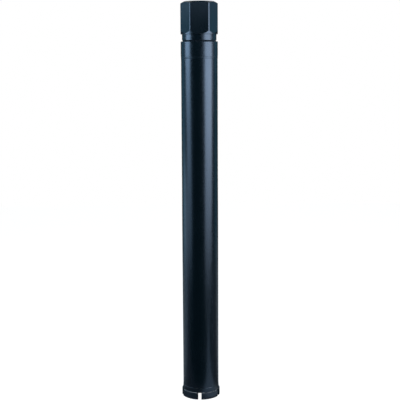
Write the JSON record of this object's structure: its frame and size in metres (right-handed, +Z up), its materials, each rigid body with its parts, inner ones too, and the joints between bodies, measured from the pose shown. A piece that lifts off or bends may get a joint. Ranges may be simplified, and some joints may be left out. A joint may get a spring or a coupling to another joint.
{
  "type": "diamond core bit",
  "caption": "Long thin-walled core bit: threaded hexagon hub, plain steel barrel and a crown of diamond segments parted by water slots.",
  "frame": {"origin": "centre of the cutting face, where the crown stands on the ground", "axes": "+Z up the axis from the crown to the hub; one flat of the hexagon faces -Y"},
  "size_m": [0.048, 0.048, 0.495],
  "materials": {
    "hub_steel": "satin blue-black",
    "barrel_steel": "satin blue-black",
    "diamond_segment": "ground sintered metal with diamond grit"
  },
  "bodies": {
    "root": {"hub": "hub_steel", "barrel_tube": "barrel_steel", "segment_1": "diamond_segment", "segment_2": "diamond_segment", "segment_3": "diamond_segment", "segment_4": "diamond_segment", "segment_5": "diamond_segment"}
  },
  "joints": []
}
